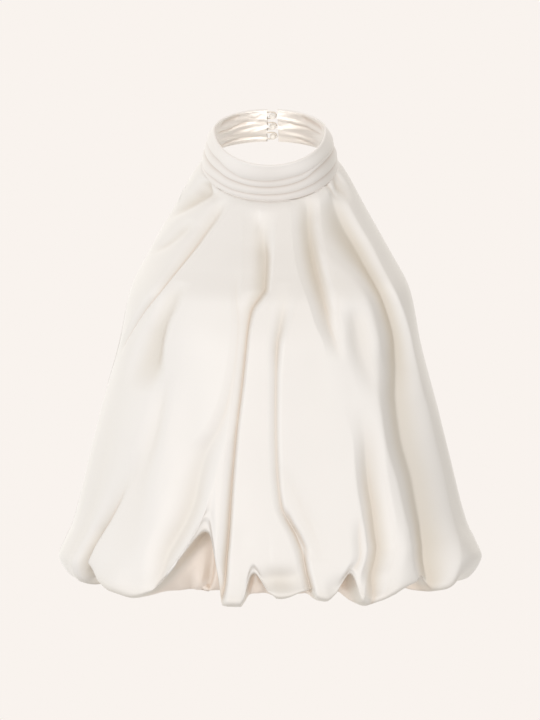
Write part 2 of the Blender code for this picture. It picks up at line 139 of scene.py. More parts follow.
# Troughs in the cloth: a name, the (run, angle) line that each follows, and its stations,
# (run, depth, left, right, soft, lean). `depth` is how far the cloth sinks, left and right
# are the widths of the two flanks, `soft` rounds the bottom, and `lean`, 0 where it is left
# out, pushes the flank on the right over the trough (negative: the flank on the left).
FOLDS = (
    ("left armhole", ((5, -50), (14, -60), (26, -69), (36, -76), (46, -83), (56, -88)),
     ((3, 0, 12, 7, 3), (12, 7, 12, 7, 2.4), (25, 9, 12, 7, 1.8), (36, 7, 10, 7, 1.8),
     (48, 2, 9, 7, 2.5), (56, 0, 9, 7, 2.5))),
    ("left armhole second", ((38, -57), (46, -59.5), (59, -64), (72, -71), (82, -78), (90, -83)),
     ((36, 0, 9, 7, 3), (52, 4.5, 8, 6, 1.8), (70, 4.5, 8, 6, 1.8), (84, 0, 8, 6, 2.5))),
    ("left sweep", ((0, -37), (25, -40), (43, -43), (61, -45), (86, -48.5), (115, -53),
     (141, -61.8), (160, -68.2), (179, -74), (240, -78), (476, -80)),
     ((2, 0, 7, 5, 3), (25, 5, 8, 4, 1.6), (61, 6, 8, 3.5, 0.9, 0.5), (100, 5.5, 7, 3, 0.7, 0.8),
     (141, 5, 6, 3, 0.6, 0.8), (165, 3.5, 6, 3, 0.6, 0.4), (188, 0, 7, 4, 1))),
    ("left patch", ((105, -42), (116, -43), (131, -44.5), (149, -47.5), (165, -48.8),
     (190, -49.5), (225, -52)),
     ((100, 0, 8, 6, 4), (120, 5, 8, 6, 2.5), (145, 7, 9, 6, 2), (165, 9, 13, 6, 2.5),
     (185, 9, 15, 7, 4), (198, 7, 15, 9, 6), (220, 0, 12, 9, 7))),
    ("left lower", ((200, -40), (235, -40), (256, -40.5), (282, -42), (309, -44), (347, -44.5),
     (400, -45)),
     ((195, 0, 8, 5, 3), (235, 2.5, 9, 4, 1.5), (282, 3.5, 12, 6, 2), (330, 3, 14, 10, 5),
     (375, 2, 14, 12, 8), (402, 0, 12, 12, 8))),
    ("side lobe", ((0, -22), (90, -30), (140, -36), (180, -41), (240, -45.5), (299, -49.5),
     (325, -52), (355, -56), (369, -58), (386, -59.5), (408, -61.5), (438, -64.5), (476, -64.5)),
     ((280, 0, 8, 4, 3), (310, 2, 10, 4, 2, 0.5), (345, 6, 12, 3.5, 1, 1.5),
     (380, 12, 12, 3, 0.8, 3), (410, 15, 11, 3, 0.8, 4), (438, 13, 9, 3, 0.8, 3),
     (453, 0, 8, 3, 1))),
    ("lobe shade", ((0, -18), (60, -15.5), (91, -15.2), (150, -12.3), (184, -12.8), (221, -14.3),
     (252, -17), (275, -20.6), (302, -22.6), (323, -23.4), (342, -25), (363, -27.6), (382, -29.5),
     (402, -30.8), (438, -33), (476, -33)),
     ((80, 0, 3, 6, 1.5), (110, 1.2, 3, 6, 1), (184, 1.6, 4, 6, 1), (223, 2.4, 5, 7, 1),
     (252, 3.2, 8, 8, 1.5), (278, 4.5, 12, 8, 2.5), (323, 6.5, 13, 8, 3), (363, 7, 12, 9, 3),
     (402, 5, 8, 8, 1.5), (432, 2, 6, 7, 1.5), (446, 0, 6, 7, 2))),
    ("main", ((0, -7), (42, -4), (69, -2.5), (105, -2.5), (117, -4.6), (131, -7.6), (160, -9),
     (210, -10), (257, -11.1), (322, -11.8), (379, -12), (406, -12.2), (438, -13.4),
     (476, -13.4)),
     ((10, 0, 8, 8, 6), (36, 6, 9, 6, 3), (62, 9.5, 11, 4.5, 2), (105, 10, 11, 3.5, 1.4, 0.2),
     (131, 7, 7.5, 3, 0.8, 0.4), (160, 5.5, 5, 2.6, 0.6, 0.5), (202, 5.5, 4.5, 2.4, 0.6, 0.6),
     (260, 5.5, 4.5, 2.4, 0.6, 0.8), (322, 6.5, 5, 2.4, 0.6, 1), (379, 7.5, 5.5, 2.4, 0.6, 1),
     (410, 7, 5, 3, 0.6, 0.6), (438, 5, 5, 4, 0.8), (453, 0, 5, 8, 1))),
    ("centre right", ((0, 6.5), (60, 6.4), (118, 5.8), (147, 4.2), (166, 2.8), (202, 2.2),
     (251, 2), (282, 2.2), (312, 2.8), (331, 3.7), (342, 5.2), (360, 7.8), (379, 9.4),
     (398, 10.2), (438, 11.8), (476, 11.8)),
     ((95, 0, 8, 8, 5), (118, 3, 7, 6, 3), (147, 6, 6, 4, 1.6), (170, 5.5, 5, 3.5, 0.9, 0.3),
     (202, 4, 4, 3, 0.7, 0.4), (251, 4, 4, 2.8, 0.7, 0.5), (312, 4.5, 4.5, 2.8, 0.7, 0.8),
     (345, 6, 5, 3, 0.8, 1.2), (374, 7, 6, 3, 0.8, 1.5), (400, 7.5, 6, 3, 0.8, 2),
     (438, 7, 5, 3, 0.8, 2), (453, 0, 5, 3, 1))),
    ("leaf", ((330, 5), (345, 6.6), (360, 8.8), (374, 10.4), (388, 11.4)),
     ((330, 0, 2.5, 2.5, 0.8), (345, 3, 2.5, 2.5, 0.6), (370, 3.5, 2.5, 3, 0.6),
     (388, 0, 3, 2.5, 0.8))),
    ("lobe D shade", ((290, 4.6), (302, 5.8), (314, 7.4), (331, 9.8), (350, 11.8), (370, 13.4),
     (385, 14.5)),
     ((285, 0, 7, 6, 3), (314, 2.5, 8, 5, 2), (345, 3.2, 9, 5, 2), (370, 2, 8, 5, 2),
     (388, 0, 8, 6, 3))),
    ("right yoke", ((0, 30), (8, 31), (34, 27.5), (68, 24.5), (106, 23.5), (142, 24), (167, 25.5),
     (185, 27)),
     ((0, 2, 9, 6, 4), (12, 6, 10, 5, 3), (33, 10, 11, 4.5, 2.2), (67, 12, 11.5, 4, 1.6),
     (107, 11, 10.5, 3.6, 1.4), (142, 7, 8.5, 3.4, 1.2), (167, 3, 6, 3.4, 1.4),
     (184, 0, 7, 4, 2))),
    ("right front", ((230, 31.5), (245, 32.2), (266, 33), (307, 32.7), (339, 33.2), (370, 33),
     (386, 31.5), (404, 29.5), (414, 29), (438, 28), (476, 28)),
     ((230, 0, 7, 8, 3), (262, 4, 7, 8, 2.5), (285, 7, 7.5, 8, 2), (323, 10, 8, 8, 1.5),
     (365, 10.5, 8, 8, 1.5), (404, 10, 8, 7, 1.2), (430, 7, 7, 6, 1), (453, 0, 6, 5, 1))),
    ("right front second", ((345, 27), (363, 26.5), (382, 25.8), (400, 23.8), (412, 23)),
     ((340, 0, 5, 3, 1), (363, 2.5, 5, 3, 0.8), (395, 3, 5, 3, 0.8), (414, 0, 4, 3, 1))),
    ("right fold", ((0, 53), (21, 54.5), (43, 55), (70, 56.5), (107, 57), (143, 60.5), (164, 62),
     (194, 58.5), (215, 54.5), (229, 52.5), (270, 51), (312, 52.5), (354, 52.5), (392, 50.5),
     (438, 50.1), (476, 50.1)),
     ((6, 0, 14, 6, 5), (24, 7, 19, 6, 4), (49, 11, 23, 6, 4), (70, 12, 23, 6, 3.5),
     (95, 12, 18, 6, 2.4), (120, 12, 17, 6, 2.2), (150, 12, 20, 8, 2.2), (180, 12, 21, 10, 2.6),
     (208, 11, 18, 14, 3), (246, 10.5, 15, 20, 3), (300, 10.5, 14, 22, 3), (340, 11, 13, 22, 3),
     (375, 12, 12, 22, 2.5), (404, 12, 11, 18, 2), (438, 9, 9, 10, 1.2), (453, 0, 9, 8, 1))),
    ("right swell", ((0, 34), (54, 38), (105, 42), (168, 44), (208, 43), (246, 39), (288, 37),
     (326, 38), (369, 41), (397, 40), (438, 40)),
     ((20, 0, 16, 14, 10), (105, -2, 18, 15, 7), (208, -2.5, 16, 13, 7), (375, -2.5, 13, 12, 5),
     (430, 0, 12, 10, 5))),
    ("right patch", ((130, 35.5), (139, 36), (170, 36.8), (201, 39), (240, 43)),
     ((126, 0, 8, 9, 5), (145, 4, 8, 10, 3), (165, 5, 9, 11, 3), (185, 4, 9, 11, 4),
     (225, 0, 9, 10, 6))),
    ("right neck pleat", ((0, 57), (18, 60)),
     ((0, 3, 3, 2.4, 0.8), (8, 2.5, 3.5, 2.4, 0.8), (18, 0, 4, 3, 1))),
    ("right neck pleat second", ((0, 70), (24, 71)),
     ((0, 1.5, 5, 4, 1.4), (11, 7, 8, 6, 1.8), (24, 0, 8, 7, 2))),
    ("right neck pleat third", ((0, 76), (14, 77)),
     ((0, 3, 3, 2.4, 0.8), (7, 2.2, 3.5, 2.4, 0.8), (14, 0, 4, 3, 1))),
    ("left neck pleat", ((0, -61), (20, -68)),
     ((0, 1.2, 5, 4, 1.4), (9, 8, 9, 7, 1.8), (20, 0, 9, 7, 2.2))),
    ("left neck pleat second", ((0, -46), (16, -48)),
     ((0, 1, 2.5, 2, 0.8), (7, 0.7, 3, 2, 0.8), (16, 0, 4, 3, 1))),
    ("notch crease", ((438, -17.8), (450, -19), (462, -24), (476, -31)),
     ((440, 0, 5, 3, 0.8), (450, 3, 6, 2.5, 0.6), (462, 7, 7, 2.5, 0.6), (472, 5, 6, 3, 0.8),
     (476, 2, 6, 3, 1))),
    ("notch crease second", ((438, -24), (452, -27), (464, -30), (476, -34)),
     ((446, 0, 5, 4, 2), (456, 3.5, 5, 4, 1), (466, 5, 5, 4, 1), (476, 2, 6, 4, 2))),
    ("notch crease third", ((438, -16), (450, -16.6), (476, -20)),
     ((448, 0, 3, 3, 1), (458, 3, 4, 3, 0.8), (466, 5, 4, 3, 0.8), (476, 2, 4, 3, 1))),
    ("right side", ((240, 80), (300, 82), (338, 83), (383, 84), (438, 84)),
     ((230, 0, 8, 8, 6), (300, -1, 8, 8, 5), (383, -1, 8, 8, 5), (438, 0, 8, 8, 5))),
    ("left side", ((230, -66), (300, -68), (350, -69), (410, -72), (438, -74)),
     ((220, 0, 9, 8, 6), (300, 2, 10, 8, 5), (380, 2.5, 9, 8, 4), (438, 1, 8, 8, 3))),
    ("back right side", ((160, 112), (240, 113), (320, 112), (438, 110)),
     ((160, 0, 10, 8, 5), (230, 5, 12, 7, 4), (320, 9, 13, 6, 3), (400, 10, 12, 4, 1.2, 1),
     (438, 8, 10, 4, 1, 1), (453, 0, 9, 4, 1))),
    ("back right", ((185, 133), (240, 134), (320, 137), (400, 138), (438, 138)),
     ((180, 0, 8, 10, 4), (240, 5, 7, 12, 2, -0.5), (320, 9, 5, 14, 1, -1.5),
     (400, 11, 4, 12, 0.8, -2), (438, 8, 4, 9, 0.8, -1), (453, 0, 4, 9, 1))),
    ("back right inner", ((210, 152), (260, 152), (340, 150), (410, 153)),
     ((205, 0, 8, 7, 4), (250, 2.5, 9, 7, 4), (340, 4, 9, 6, 3), (415, 0, 8, 6, 3))),
    ("back middle", ((190, 172), (240, 171), (320, 169), (400, 170), (438, 170)),
     ((185, 0, 9, 9, 5), (235, 5, 10, 8, 3), (300, 9, 11, 6, 1.5, 0.5), (370, 11, 10, 4, 0.9, 2),
     (410, 11, 9, 3.5, 0.8, 3), (438, 8, 8, 3.5, 0.8, 2), (453, 0, 8, 4, 1))),
    ("back left inner", ((200, 190), (250, 191), (330, 193), (400, 196), (438, 198)),
     ((195, 0, 8, 8, 5), (250, 4, 7, 10, 4), (330, 6.5, 6, 11, 2), (400, 7, 5, 10, 1, -1),
     (438, 5, 4, 8, 0.8, -1), (453, 0, 4, 8, 1))),
    ("back left", ((180, 222), (240, 220), (320, 223), (400, 225), (438, 225)),
     ((175, 0, 9, 9, 5), (235, 6, 12, 7, 4), (320, 10, 14, 5, 2, 0.5), (400, 12, 12, 4, 0.8, 3),
     (438, 9, 9, 3.5, 0.8, 2), (453, 0, 9, 4, 1))),
    ("back left side", ((170, 246), (250, 249), (340, 250), (438, 254)),
     ((165, 0, 8, 10, 5), (250, 4, 7, 12, 4), (340, 7, 6, 12, 2.5), (438, 6, 5, 9, 1),
     (453, 0, 5, 9, 1))),
)
LINES = {name: line for name, line, stations in FOLDS}
CREASE_FADE = (HEM_LINE, 458)  # folds die away on the turned-under cloth
FLANK = 1.9  # a flank's whole width, in its table's width
FLANK_POWER = 1.3
EVEN_POWER = 1.05
EVEN = ("right fold", "right front", "right yoke", "left patch")  # folds with even flanks
# Painted shade: a fold's hollow is painted darker the deeper it is, by these numbers.
DEEP = 13.5  # a fold this deep is as dark as they get
DEEP_POWER = 1.5
DARK_FLANK = (0.15, 0.95)  # shares of the depth between which a flank darkens
# Painted shade along each fold's crease, stronger the deeper and sharper the fold:
CREASED = 9  # a fold this deep is as sharply creased as they get
SHARPEST = 0.63  # rounding below this makes a crease no sharper
# How far a crease's painted shade reaches on each flank: a share of the flank, and millimetres.
LEFT_CREASE_SHADE, RIGHT_CREASE_SHADE = (0.14, 0.7), (0.3, 0.5)

# Soft dimples, each some millimetres long down the cloth and some degrees wide, with painted
# shade in the deeper ones.
Dent = namedtuple("Dent", "run angle depth length width")
DENTS = [Dent(*row) for row in (
    (362, -8, 1, 12, 3), (411, 2.8, 8, 15, 5.5), (419, 18, 4, 12, 4), (418, -38, 2.5, 12, 6),
    (22, -8.5, 1.2, 10, 1.8), (60, -4.5, 0.8, 16, 2), (205, 15, 1.2, 40, 5), (255, -28, 1, 50, 5),
    (120, 30, -1.5, 40, 5),
)]

# Where the gathers lift the hem line between two lobes. The two powers shape the line on
# the left and right of the apex: over 1 is a slow start and a steep end, under 1 a wall.
Pocket = namedtuple("Pocket", "left apex right rise draw left_power right_power")
POCKETS = [Pocket(*row) for row in (
    (-68, -63.5, -50, 20, 8, 0.6, 1.2), (-39, -17.6, -13.4, 64, 8, 1.9, 0.55),
    (-7.4, -4.4, 1.2, 28, 9, 0.8, 1.2), (4, 11.4, 13, 10, 4, 1.4, 0.7),
    (16, 22.2, 24.4, 24, 9, 1.3, 0.8), (36, 46.5, 50.5, 13, 5, 1.1, 0.7),
    (101, 110, 117, 22, 10, 1.3, 0.9), (125, 138, 147, 38, 13, 1.6, 0.9),
    (158, 170, 176.5, 44, 14, 1.5, 0.8), (190, 198, 207, 26, 11, 0.9, 1.4),
    (213, 225, 232, 40, 13, 1.6, 0.8), (246, 253, 262, 20, 9, 0.9, 1.3),
)]
REACH = 2.2  # a pocket lifts the cloth over this many times its rise
LEAST_REACH = 20
DRAWN = 48  # and draws it in over this length above the hem line
DRAWN_BY_LIFT = 0.17  # lifted cloth lies further in by this share of its lift
DRAWN_AT_SIDES = 0.2  # and by this more at the sides
APEX_ROUND = 0.12  # how far along a pocket's side its rounded apex reaches

# How far the lowest line of each lobe is raised from the section's: (angle, height).
LOBES = (
    (-90, 0), (-80, 4), (-72, 4), (-66, 5), (-60, 7), (-53, 9), (-46, 6), (-39.5, 2.5), (-33, 5),
    (-26, 8), (-19, 9), (-14, 1), (-10, 0.5), (-6.5, 1), (-3, 7), (1, 9), (5, 8.5), (9, 10.5),
    (12, 8), (16, 5), (19, 7), (22, 7), (27, -2), (31, 3), (36, 9), (41, 11), (46, 11), (52, 4),
    (60, 5), (68, 9), (75, 7), (82, 3), (90, -1), (97, 2), (104, 6), (115, 7), (124, 0), (134, 6),
    (143, 7), (153, -2), (163, 6), (176, 7), (186, -2), (194, 5), (203, 7), (211, 1), (220, 7),
    (231, 6), (240, -1), (248, 5), (259, 5), (270, 0),
)
LOBE_TOP = 340

GATHER_DEPTH = 4.5
GATHER_CREASE_SHADE = 0.4
LIP_TOP = 413  # below this the lobes roll under and are painted a little darker, as shade
LIP_SHADE = 0.6
UNDER = 8  # how soon past the hem line the turned-under cloth has its painted warm shade
UNDER_CLEAR = 0.9  # and how much of the lip's painted shade it loses
RIPPLE = 0.45


def trough(across, left, right, soft, power):
    """1 along a fold's line, falling away over about `left` and `right` on its flanks."""
    width = FLANK * np.where(across < 0, left, right)
    return np.clip(1 - (np.hypot(across, soft) - soft) / width, 0, 1) ** power


def painted_darkness(depth):
    return np.clip(depth / DEEP, 0, 1) ** DEEP_POWER


def fold_moves(run, angle, scale):
    """How far the folds sink the cloth and push it sideways, how sharply they crease it and how
    deep in a hollow it lies, both as amounts of painted shade; `scale` is millimetres to a
    degree."""
    sink, push, crease, hollow = (np.zeros(run.shape) for _ in range(4))
    fade = 1 - smooth(*CREASE_FADE, run)
    for name, line, stations in FOLDS:
        at, *columns = np.array([(*row, 0)[:6] for row in stations], float).T
        depth, left, right, soft, lean = (curve(run, at, column) for column in columns)
        depth = np.where((run < at[0]) | (run > at[-1]), 0, depth)
        if at[0] < HEM_LINE:
            depth = depth * fade
        across = turned_from(angle, follow(run, line)) * scale
        shape = trough(across, left, right, soft, EVEN_POWER if name in EVEN else FLANK_POWER)
        sink += depth * shape
        behind = np.clip(np.where(lean > 0, across / right, -across / left), 0, 20)
        push -= lean * behind * np.exp(1 - behind) * (depth > 0)
        # painted shade along the crease, reaching a little way onto each flank
        near = across / np.where(across < 0, LEFT_CREASE_SHADE[0] * left + LEFT_CREASE_SHADE[1],
                                 RIGHT_CREASE_SHADE[0] * right + RIGHT_CREASE_SHADE[1])
        sharp = np.clip(depth / CREASED, 0, 1) * np.exp(1 - 1.6 * np.maximum(soft, SHARPEST))
        crease = np.maximum(crease, sharp * np.exp(-near * near))
        # painted shade in the fold's hollow
        hollow = np.maximum(hollow, painted_darkness(depth) * smooth(*DARK_FLANK, shape))
    for dent in DENTS:
        along = (run - dent.run) / dent.length
        across = turned_from(angle, dent.angle) / dent.width
        shape = np.exp(-along * along - across * across)
        sink += dent.depth * shape
        # painted shade in the dent's hollow
        hollow = np.maximum(hollow, painted_darkness(dent.depth) * shape)
    return sink, push, crease, hollow


def pocket_side(distance, power):
    """The rise of a pocket's side, 1 at its apex and 0 at its foot; a wall is rounded."""
    share = np.clip(1 + APEX_ROUND - np.hypot(distance, APEX_ROUND), 0, 1)
    return smooth(0, 1, share) ** power if power < 1 else share**power


def hem_moves(hem_angle):
    """Rise and draw of the pockets at each place round the hem."""
    rise, draw = np.zeros(hem_angle.shape), np.zeros(hem_angle.shape)
    for pocket in POCKETS:
        off = turned_from(hem_angle, pocket.apex)
        left = pocket_side(off / (pocket.apex - pocket.left), pocket.left_power)
        right = pocket_side(off / (pocket.right - pocket.apex), pocket.right_power)
        share = np.where(off < 0, left, right)
        rise = np.maximum(rise, pocket.rise * share)
        draw = np.maximum(draw, pocket.draw * share)
    return rise, draw


def gathers(hem_angle):
    """Uneven pleats round the band, about 1 at their crests and -1 between them."""
    turn = np.radians(hem_angle)
    wave = np.sin(41 * turn + 1.3 * np.sin(7 * turn + 0.4) + 0.8 * np.sin(13 * turn))
    return 0.75 * wave + 0.25 * np.sin(67 * turn + 2 * np.sin(5 * turn))


def surface(run, angle, hem_angle, inset=0):
    """Points of the cloth's outer face, or `inset` under it, its crease shade and hollow shade,
    both painted.
    """
    section = sections_at(run)
    turn = np.radians(angle)
    wide = 1 - smooth(*LIP_SIDES, np.degrees(np.arcsin(abs(np.sin(turn)))))
    wide = wide * smooth(*LIP_RUNS, run)
    half_width = section.half_width * (1 - wide) + follow(run, WIDE_LIP) * wide
    depth = np.where(np.cos(turn) > 0, section.front_depth, section.back_depth)
    depth = depth + follow(run, DEEP_LIP) * wide
    along_x = half_width * np.cos(turn)
    along_y = depth * np.sin(turn)
    speed = np.hypot(along_x, along_y)
    sink, push, crease, hollow = fold_moves(run, angle, np.radians(speed))

    rise, draw = hem_moves(hem_angle)
    above = smooth(HEM_LINE - np.maximum(REACH * rise, LEAST_REACH), HEM_LINE, run)
    below = 1 - smooth(HEM_LINE, GATHERS, run)
    lift = np.where(run > HEM_LINE, rise * below, rise * above)
    lift = lift + follow(hem_angle, LOBES) * smooth(LOBE_TOP, HEM_LINE, run) * below
    drawn_by_lift = DRAWN_BY_LIFT + DRAWN_AT_SIDES * np.sin(turn) ** 2
    sink = sink + draw * smooth(HEM_LINE - DRAWN, HEM_LINE, run) * below
    sink = sink + np.minimum(lift, rise) * drawn_by_lift * below

    inside = smooth(HEM_LINE + 2, RUN_END - 4, run)
    pleats = gathers(hem_angle)
    sink = sink - GATHER_DEPTH * pleats * inside
    # painted shade in the troughs of the gathers
    crease = np.maximum(crease, GATHER_CREASE_SHADE * smooth(0.2, 1, -pleats) * inside)
    # painted shade where the lobes roll under, which the turned-under cloth mostly loses
    hollow = np.maximum(hollow, LIP_SHADE * smooth(LIP_TOP, HEM_LINE, run))
    hollow = hollow * below * (1 - UNDER_CLEAR * smooth(HEM_LINE, HEM_LINE + UNDER, run))
    ripple = np.sin(0.021 * run + 5.1 * turn) + np.sin(0.033 * run - 8.3 * turn + 1)
    sink = sink + RIPPLE * ripple * smooth(10, 120, run) + inset

    unit_x, unit_y = along_x / speed, along_y / speed
    forward = section.middle - depth * np.cos(turn)
    x = half_width * np.sin(turn) - sink * unit_y + push * unit_x
    y = forward + sink * unit_x + push * unit_y
    z = section.height + forward * np.tan(np.radians(section.tilt)) + lift
    return np.stack((x, y, z), -1), crease, hollow


# -- meshes --

TIGHTNESS = 1.6  # how much denser the columns are at a knot
KNOT_WIDTH = 0.035


def columns(count, knots):
    """Places across a piece, from -1 to 1, closer together near the knots."""
    fine = np.linspace(-1, 1, 4001)
    bumps = sum(np.exp(-(((fine - knot) / KNOT_WIDTH) ** 2)) for knot in knots[1:-1])
    density = 1 + TIGHTNESS * bumps
    total = np.concatenate(((0,), np.cumsum(0.5 * (density[1:] + density[:-1]))))
    return np.interp(np.linspace(0, total[-1], count + 1), total, fine)


def row_runs(ends, counts):
    """Runs of the rows: `counts` rows between each two ends."""
    parts = [np.linspace(a, b, n, endpoint=False) for a, b, n in zip(ends, ends[1:], counts)]
    return np.concatenate((*parts, (ends[-1],)))


def mesh_from(bm, name):
    mesh = bpy.data.meshes.new(name)
    bm.to_mesh(mesh)
    bm.free()
    return mesh


def link(name, data):
    thing = bpy.data.objects.new(name, data)
    bpy.context.collection.objects.link(thing)
    return thing


def grid(name, columns_count, rows_count):
    """A flat grid, and the row and column of each of its points from the top left."""
    bm = bmesh.new()
    bm.loops.layers.uv.new("cloth")
    bmesh.ops.create_grid(bm, x_segments=columns_count, y_segments=rows_count, size=0.5,
                          calc_uvs=True)
    mesh = mesh_from(bm, name)
    place = np.empty(3 * len(mesh.vertices))
    mesh.vertices.foreach_get("co", place)
    place = place.reshape(-1, 3)
    column = np.rint((place[:, 0] + 0.5) * columns_count).astype(int)
    row = np.rint((0.5 - place[:, 1]) * rows_count).astype(int)
    return mesh, (row, column)


def shape_grid(mesh, place, points, size, **attributes):
    """Moves a grid's points, given in millimetres, makes its UV map `size` metres wide and
    long, and gives its points attributes."""
    mesh.vertices.foreach_set("co", (points[place] * MM).astype(np.float32).ravel())
    mesh.update()
    mesh.shade_smooth()
    for name, values in attributes.items():
        layer = mesh.attributes.new(name, "FLOAT", "POINT")
        layer.data.foreach_set("value", values[place].astype(np.float32).ravel())
    layer = mesh.uv_layers.active.data
    values = np.empty(2 * len(layer))
    layer.foreach_get("uv", values)
    layer.foreach_set("uv", (values.reshape(-1, 2) * size).ravel())


def add(mesh, slot, material, *nodes):
    thing = link(mesh.name, mesh)
    mesh.materials.append(material)
    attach(thing, "root")
    if nodes:
        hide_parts(*nodes)
    return thing


def thicken(thing, thickness=CLOTH):
    wall = thing.modifiers.new("cloth wall", "SOLIDIFY")
    wall.thickness = thickness * MM
    wall.offset = -1


# -- panels --

HEM_ENDS = (368, 430, 446, RUN_END)  # the rows' spacing changes here


def knot_angles(run, lines, start, end):
    """Angles of a piece's edges and of the lines between them at each run."""
    return np.stack([start, *(follow(run, line) for line in lines), end], -1)


def build_panel(mesh, place, run, angle, size, material, node):
    hem_angle = np.broadcast_to(angle[np.argmin(abs(run[:, 0] - HEM_LINE))], angle.shape)
    points, crease, hollow = surface(run, angle, hem_angle)
    # where the turned-under cloth is painted with warmer shade
    under = smooth(HEM_LINE - UNDER / 2, HEM_LINE + UNDER, run)
    shape_grid(mesh, place, points, size, crease=crease, hollow=hollow, turned_under=under)
    panel = add(mesh, "satin", material, node)
    thicken(panel)
    return panel


# Lines that the columns of the front follow, each at its place across, from -1 to 1. Two of
# them close together carry the wall of a hem pocket.
FRONT_GUIDES = (
    (-0.76, LINES["left sweep"]),
    (-0.57, LINES["side lobe"]),
    (-0.36, ((0, -21), (110, -19.5), (180, -20), (278, -22), (323, -23.5), (363, -27.6),
     (402, -30.8), (438, -33), (476, -33))),
    (-0.24, ((0, -16), (110, -14), (200, -15), (300, -17.6), (363, -17.8), (438, -17.8),
     (476, -17.8))),
    (-0.17, ((0, -13.5), (110, -11.6), (200, -13), (300, -15.2), (363, -15.4), (438, -14.9),
     (476, -14.9))),
    (-0.12, ((0, -10), (69, -7.5), (106, -7), (166, -10), (237, -10.8), (322, -11.8),
     (406, -12.2), (438, -13.4), (476, -13.4))),
    (-0.07, ((0, -6), (106, -4.2), (166, -7), (322, -8), (438, -7.2), (476, -7.2))),
    (-0.03, ((0, -2), (166, -4.5), (322, -5), (438, -4.4), (476, -4.4))),
    (0.01, ((0, 1), (166, -1.5), (322, -1.8), (438, -0.6), (476, -0.6))),
    (0.11, LINES["centre right"]),
    (0.26, ((0, 21), (100, 14.5), (166, 18.5), (250, 27), (342, 27), (404, 23), (438, 22.4),
     (476, 22.4))),
    (0.31, ((0, 25), (100, 18), (166, 22), (250, 32), (342, 33), (386, 30), (404, 27),
     (438, 24.4), (476, 24.4))),
    (0.57, LINES["right fold"]),
)
FRONT_KNOTS = np.array((-1, *(place for place, line in FRONT_GUIDES), 1))
FRONT_COLUMNS = 270
FRONT_ROWS = (46, 66, 28, 16, 22)
SEAM_GAP = 0.05  # the front stops this far short of its edges


def build_front(material):
    runs = row_runs((0, UNDERARM, *HEM_ENDS), FRONT_ROWS)
    mesh, place = grid("front_cloth", FRONT_COLUMNS, len(runs) - 1)
    places = columns(FRONT_COLUMNS, FRONT_KNOTS)
    edge = sections_at(runs).edge - SEAM_GAP
    corners = knot_angles(runs, [line for _, line in FRONT_GUIDES], -edge, edge)
    angle = np.stack([curve(places, FRONT_KNOTS, knots) for knots in corners])
    run = np.broadcast_to(runs[:, None], angle.shape)
    return build_panel(mesh, place, run, angle, (0.66, 0.53), material, "front")


BACK_LINES = [LINES["back " + name] for name in (
    "right side", "right", "middle", "left inner", "left", "left side"
)]
BACK_KNOTS = np.array((-1, -0.76, -0.47, -0.1, 0.2, 0.5, 0.78, 1))
BACK_COLUMNS = 200
BACK_ROWS = (70, 30, 16, 24)
BACK_EDGE = 90.03
BACK_DIP = 53  # how much lower the back's top edge is at its middle


def back_top(places):
    """The run of the back's top edge at places across it."""
    return UNDERARM + BACK_DIP * np.cos(0.5 * math.pi * places)


def build_back(material):
    mesh, place = grid("back_cloth", BACK_COLUMNS, sum(BACK_ROWS))
    places = columns(BACK_COLUMNS, BACK_KNOTS)
    top = back_top(places)
    stages = np.arange(len(BACK_ROWS) + 1)
    stage = row_runs(stages, BACK_ROWS)[:, None]
    run = np.where(stage < 1, top + (HEM_ENDS[0] - top) * stage,
                   np.interp(stage, stages, (0, *HEM_ENDS)))
    rows = []
    for level in run:
        ends = np.full(level.shape, BACK_EDGE)
        corners = knot_angles(level, BACK_LINES, ends, 360 - ends)
        rows.append([curve(p, BACK_KNOTS, c) for p, c in zip(places, corners)])
    return build_panel(mesh, place, run, np.array(rows), (0.66, 0.33), material, "back")


# -- turned edges --

EDGE_WIDTH = 6  # of the turned edges at the armholes and the back's top
EDGE_INSET = CLOTH + 0.7
EDGE_WALL = 0.6


def build_turned_edge(name, run, angle, material):
    """A narrow strip of the cloth turned in along an edge, on the panel's inner face."""
    mesh, place = grid(name, run.shape[1] - 1, run.shape[0] - 1)
    points, crease, hollow = surface(run, angle, angle, EDGE_INSET)
    shape_grid(mesh, place, points, (EDGE_WIDTH * MM, 0.2), crease=crease, hollow=hollow)
    thicken(add(mesh, "satin", material), EDGE_WALL)


def build_turned_edges(material):
    across = np.linspace(0, 1, 5)
    runs = row_runs((1.5, UNDERARM - 1), (60,))[:, None] + 0 * across
    section = sections_at(runs)
    scale = np.radians(section.half_width)
    for name, side in (("armhole_hem_left", -1), ("armhole_hem_right", 1)):
        inward = across if side > 0 else 1 - across
        angle = side * (section.edge - 0.3 - inward * EDGE_WIDTH / scale)
        build_turned_edge(name, runs, angle[:, ::-side], material)
    places = np.linspace(-0.995, 0.995, 161)
    runs = back_top(places) + 0.4 + EDGE_WIDTH * across[:, None]
    build_turned_edge("back_top_hem", runs, 180 + 89.8 * places + 0 * runs, material)


# -- collar --

# The collar's rings along its own axis, which leans back by NECK_TILT: (height, half
# width, front depth, back depth).
NECK_TILT = math.radians(28)
RINGS = np.array((
    (0, 69.5, 71.4, 41.9), (9, 68.5, 71, 41.6), (20, 65.4, 70.5, 41), (34, 60.6, 70, 40.5),
    (40, 57.8, 69.5, 40.1),
))
COLLAR_MIDDLE = 14.7
COLLAR_TOP = 40
COLLAR_WALL = 2
COLLAR_ENDS = (-177.6, 172.2)  # angles of the two ends at the centre back
COLLAR_COLUMNS = 280
COLLAR_SHARP = math.radians(60)

